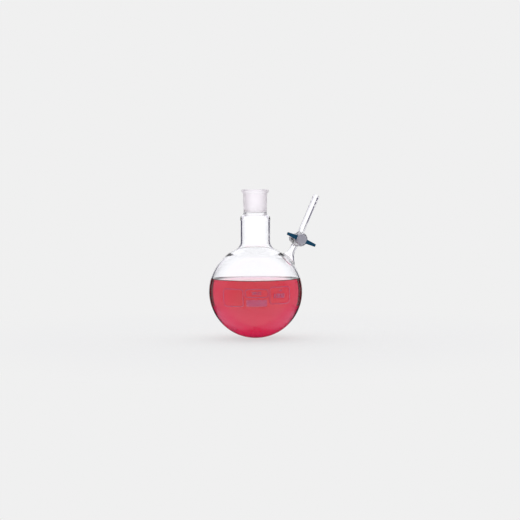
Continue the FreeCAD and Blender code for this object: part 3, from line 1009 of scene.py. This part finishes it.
# Angles are in degrees, distances in metres
CAMERA_AZIMUTH = -12.0
CAMERA_DISTANCE = 2.2
CAMERA_HEIGHT = 0.228
CAMERA_ROLL = -0.3
SENSOR_WIDTH = 36
FAR_CLIP = 100
FRAME_WIDTH = 0.728  # what the frame shows across at the flask
AIM = Vector((0.0062, -0.0013, 0.1096))

# Colours of the studio
BACKDROP = 0.871  # how bright the backdrop and the floor look
BRIGHT_FIELD = (1.08, 1.085, 1.12, 1.0)  # behind the glass, where white panels stand
DARK_SIDE = (0.03, 0.02, 0.075, 1.0)  # the dark panels at its sides
ROOM, TABLE, BEHIND_LIQUID = grey(0.9), grey(0.85), grey(0.95)
CEILING = (0.70, 0.66, 0.76, 1)
FROSTED_SIDE = (0.66, 0.58, 0.65, 1)
MIRRORED_TABLE = (0.42, 0.38, 0.50, 1)
MIRRORED_SKY = (1.0, 0.98, 1.05, 1)
SHADOW_LIGHT = (0.13, 0.13, 0.19, 1)
# The floor under the bulb as the glass shows it: a painted shadow, dark where the bulb stands and
# pale further out
PAINTED_SHADOW_DARK, PAINTED_SHADOW_PALE = (0.08, 0.07, 0.10, 1), (0.95, 0.93, 1.15, 1)

# Where one of them passes into the next: upwards from level, and aside from straight back
CEILING_RISE, PANEL_TOP, PANEL_FOOT = (20, 45), (8, 14), (-24, -18)
TABLE_EDGE, SKY_EDGE, LIGHT_RISE = (-28, -8), (8, 34), (30, 80)
PANEL_END, FROSTED_TURN, FROSTED_END = (80, 90), (12, 70), (80, 120)
TABLE_TURN, LEVEL_TURN, LEVEL_END, FRONT = (20, 50), (34, 80), (110, 150), (80, 110)
WINDOW_EDGE, LIGHT_TURN = (12, 24), (65, 130)
# The dark panels begin this far aside below and above this rise, and their edge is this soft
EDGE_SPAN, EDGE_RISE, EDGE_SOFTNESS = (11.0, 17.0), (-3, 0), 5.0

# Cards and flags round the flask, as distances aside, behind and up
WHITE_CARD = (0.200, 0.100, 0.250)  # its distance behind the flask, half width and height
FLAG_ASIDE = 0.060  # each part of a flag has its two distances behind and its two heights
FLAG_PARTS = (((0.066, 0.150), (0.030, 0.0765)), ((0.066, 0.127), (0.0765, 0.118)))
SIDE_CARDS = (0.160, (-0.250, 0.150), (0.0, 0.125))
# More surfaces than this are crossed on the way through the glass or the liquid, and there are
# more reflections than this when the glass mirrors
THROUGH_GLASS, THROUGH_LIQUID, MIRRORED_ONCE = 0.5, 4.5, 0.5

FLOOR_HALF = 0.6
FLOOR_SHADE = 0.35  # the share of the floor's look that the object can shade
FLOOR_LIGHT = 0.78  # the light that falls on it
FLOOR_FADE = (0.25, 0.5)  # where it passes into the backdrop
PAINTED_SHADOW_SPAN = (0.010, 0.068)  # where the painted shadow under the bulb grows pale
# How far from the bulb the painted shadow shows in the glass
PAINTED_SHADOW_REACH = 0.12


def add_camera():
    data = bpy.data.cameras.new("camera")
    data.sensor_width = SENSOR_WIDTH
    data.lens = SENSOR_WIDTH * CAMERA_DISTANCE / FRAME_WIDTH
    data.clip_end = FAR_CLIP
    camera = add_object("camera", data)
    turn = math.radians(CAMERA_AZIMUTH)
    camera.location = (
        math.sin(turn) * CAMERA_DISTANCE,
        -math.cos(turn) * CAMERA_DISTANCE,
        CAMERA_HEIGHT,
    )
    camera.rotation_mode = "QUATERNION"
    level = (AIM - camera.location).to_track_quat("-Z", "Y")
    camera.rotation_quaternion = level @ Quaternion((0, 0, 1), math.radians(CAMERA_ROLL))
    bpy.context.scene.camera = camera


def studio_directions(wire):
    """How far a direction lies aside, above level, and in all off straight back."""
    direction = wire.node("TexCoord").outputs["Generated"]
    turned = wire.node("VectorRotate", Vector=direction)
    turned.rotation_type = "Z_AXIS"
    turned.inputs["Angle"].default_value = -math.radians(CAMERA_AZIMUTH)
    x, y, z = wire.node("SeparateXYZ", Vector=turned.outputs[0]).outputs
    aside = wire.degrees(wire.sum("ARCTAN2", wire.sum("ABSOLUTE", x), y))
    height = wire.degrees(wire.sum("ARCSINE", z))
    return aside, height, wire.degrees(wire.sum("ARCCOSINE", y))


def through_glass(wire, ray, aside, height):
    """What shows through the glass: the bright field, and dark panels at its sides."""
    above = wire.fade(height, CEILING_RISE, CEILING, BRIGHT_FIELD)
    sides = wire.fade(height, PANEL_TOP, DARK_SIDE, above)
    sides = wire.fade(height, PANEL_FOOT, TABLE, sides)
    sides = wire.fade(aside, PANEL_END, sides, ROOM)
    edge = wire.ramp(height, *EDGE_RISE, *EDGE_SPAN)
    field = wire.fade(aside, (edge, wire.sum("ADD", edge, EDGE_SOFTNESS)), BRIGHT_FIELD, sides)
    deep = wire.sum("GREATER_THAN", ray["Transmission Depth"], THROUGH_LIQUID)
    field = wire.blend(deep, field, BEHIND_LIQUID)
    frosted = wire.fade(aside, FROSTED_TURN, BRIGHT_FIELD, FROSTED_SIDE)
    frosted = wire.fade(aside, FROSTED_END, frosted, ROOM)
    return wire.blend(ray["Is Singular Ray"], frosted, field)


def in_reflections(wire, aside, height, ahead):
    """What shows in a reflection: the table, the room at eye level, and the sky above."""
    table = wire.fade(aside, TABLE_TURN, grey(0.03), MIRRORED_TABLE)
    table = wire.fade(aside, FRONT, table, TABLE)
    level = wire.fade(aside, LEVEL_TURN, grey(0.02), grey(0.40))
    level = wire.fade(aside, LEVEL_END, level, grey(0.55))
    sky = wire.fade(aside, FRONT, MIRRORED_SKY, grey(0.6))
    gloss = wire.fade(height, TABLE_EDGE, table, level)
    gloss = wire.fade(height, SKY_EDGE, gloss, sky)
    return wire.fade(ahead, WINDOW_EDGE, grey(BACKDROP), gloss)


def light_on_solids(wire, height, ahead):
    """The light on what is opaque, which comes from behind and from above."""
    light = wire.fade(ahead, LIGHT_TURN, grey(1.0), SHADOW_LIGHT)
    return wire.fade(height, LIGHT_RISE, light, grey(1.0))


def add_world():
    """The studio, which is another one for the eye, the glass, the gloss and the light."""
    world = bpy.data.worlds.new("studio")
    world.use_nodes = True
    bpy.context.scene.world = world
    world.node_tree.nodes.clear()
    wire = Wiring(world.node_tree)
    out = wire.node("OutputWorld")
    background = wire.node("Background")
    wire.feed(background.outputs[0], out.inputs[0])
    ray = wire.node("LightPath").outputs
    aside, height, ahead = studio_directions(wire)
    light = light_on_solids(wire, height, ahead)
    gloss = in_reflections(wire, aside, height, ahead)
    field = through_glass(wire, ray, aside, height)
    seen = wire.blend(ray["Is Glossy Ray"], light, gloss)
    seen = wire.blend(ray["Is Transmission Ray"], seen, field)
    seen = wire.blend(ray["Is Camera Ray"], seen, grey(BACKDROP))
    wire.feed(seen, background.inputs["Color"])


def studio_piece(name, points, faces):
    """A piece of the studio, with its empty material, the wiring and the rays."""
    data = bpy.data.meshes.new(name)
    data.from_pydata(points, [], faces)
    piece = add_object(name, data)
    material = bpy.data.materials.new(name)
    material.use_nodes = True
    material.node_tree.nodes.clear()
    data.materials.append(material)
    wire = Wiring(material.node_tree)
    return piece, material, wire, wire.node("LightPath").outputs


def show(wire, shader):
    """Ends a material's wiring with what it shows."""
    wire.node("OutputMaterial", Surface=shader.outputs[0])


def add_panels(name, panels, colour, least_depth, least_turns=-MIRRORED_ONCE):
    """Panels that show only to rays which crossed enough surfaces of the glass and were reflected
    often enough in it. Their corners are given across the view, back and up."""
    turn = math.radians(CAMERA_AZIMUTH)
    across = Vector((math.cos(turn), math.sin(turn), 0))
    back = Vector((-math.sin(turn), math.cos(turn), 0))
    points = [across * x + back * y + Vector((0, 0, z)) for panel in panels for x, y, z in panel]
    faces = [tuple(range(4 * i, 4 * i + 4)) for i in range(len(panels))]
    piece, material, wire, ray = studio_piece(name, points, faces)
    material.cycles.emission_sampling = "NONE"
    depth, turns = ray["Transmission Depth"], ray["Ray Depth"]
    deep = wire.sum("GREATER_THAN", depth, least_depth)
    turned = wire.sum("GREATER_THAN", wire.sum("SUBTRACT", turns, depth), least_turns)
    share = wire.sum("MULTIPLY", deep, turned)
    share = wire.sum("MULTIPLY", share, ray["Is Transmission Ray"])
    through = wire.node("BsdfTransparent")
    show(wire, wire.mix(share, through, wire.node("Emission", Color=colour)))


def upright(x, near, far, foot, top):
    """The corners of a panel that stands along the view."""
    return [(x, near, foot), (x, far, foot), (x, far, top), (x, near, top)]


def add_card_and_flags():
    """A white card behind the flask, black flags for the liquid's dark edges, and pale cards
    further aside for what the inside of the glass mirrors."""
    distance, half, top = WHITE_CARD
    corners = ((-half, 0), (half, 0), (half, top), (-half, top))
    add_panels("white_card", [[(x, distance, z) for x, z in corners]], BRIGHT_FIELD, THROUGH_GLASS)
    flags = [
        upright(x, *depths, *heights)
        for x in (-FLAG_ASIDE, FLAG_ASIDE)
        for depths, heights in FLAG_PARTS
    ]
    add_panels("black_flags", flags, DARK_SIDE, THROUGH_LIQUID)
    aside, depths, heights = SIDE_CARDS
    pale = [upright(x, *depths, *heights) for x in (-aside, aside)]
    add_panels("pale_cards", pale, ROOM, THROUGH_GLASS, MIRRORED_ONCE)


def add_floor():
    """The floor, which takes a soft shadow. In glass it shows only near the bulb, as a painted
    shadow that is dark where the bulb stands on it."""
    half = FLOOR_HALF
    corners = [(-half, -half, 0), (half, -half, 0), (half, half, 0), (-half, half, 0)]
    floor, _, wire, ray = studio_piece("floor", corners, [(0, 1, 2, 3)])
    distance = wire.length(wire.node("TexCoord").outputs["Object"])
    lit = wire.node("BsdfDiffuse", Color=grey(FLOOR_SHADE))
    strength = BACKDROP - FLOOR_SHADE * FLOOR_LIGHT
    glow = wire.node("Emission", Color=grey(1.0), Strength=strength)
    near_floor = wire.node("AddShader")
    wire.feed(lit.outputs[0], near_floor.inputs[0])
    wire.feed(glow.outputs[0], near_floor.inputs[1])
    far_floor = wire.node("Emission", Color=grey(1.0), Strength=BACKDROP)
    whole = wire.mix(wire.ramp(distance, *FLOOR_FADE), near_floor, far_floor)
    # Painted shadow: through the glass, the floor near the bulb is a glow, dark at the contact and
    # pale further out
    contact = wire.fade(distance, PAINTED_SHADOW_SPAN, PAINTED_SHADOW_DARK, PAINTED_SHADOW_PALE)
    close = wire.sum("LESS_THAN", distance, PAINTED_SHADOW_REACH)
    close = wire.sum("MULTIPLY", close, ray["Is Transmission Ray"])
    through = wire.node("BsdfTransparent")
    painted_shadow_in_glass = wire.mix(close, through, wire.node("Emission", Color=contact))
    glass_rays = wire.sum("MAXIMUM", ray["Is Transmission Ray"], ray["Is Glossy Ray"])
    show(wire, wire.mix(glass_rays, whole, painted_shadow_in_glass))


def finish_part(node, material):
    """Gives a part of the frame its finish."""
    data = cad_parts[node].data
    data.materials.clear()
    data.materials.append(material)


# ---- the scene

add_camera()
add_world()
add_floor()
add_card_and_flags()
grain, rings = grain_effect(), turning_effect()
add_piece(flask_mesh(), [clear_glass(grain), ground_glass(grain)], "flask", "flask_body")
add_piece(liquid_mesh(), [red_liquid()], "flask", "liquid")
enamels = [
    enamel(grain, "line_enamel", 0.55, (0.26, 0.23, 0.46, 1), (0.32, 0.29, 0.56, 1)),
    enamel(grain, "patch_enamel", 0.3, (0.33, 0.31, 0.60, 1), (0.40, 0.37, 0.70, 1)),
]
bulb_print = add_piece(print_mesh(), enamels, "flask")

key_axis = (float(STOPCOCK_CENTRE[0]) * MM, 0.0, float(STOPCOCK_CENTRE[2]) * MM)
ptfe = fluoropolymer(grain, rings, key_axis)
finish_part("stopcock_key", ptfe)
finish_part("key_washer", ptfe)
finish_part("stopcock_handle", teal_plastic(grain))
finish_part("key_nut", ptfe)
finish_part("sealing_ring", black_rubber(grain))

bpy.context.scene.view_settings.view_transform = "Standard"
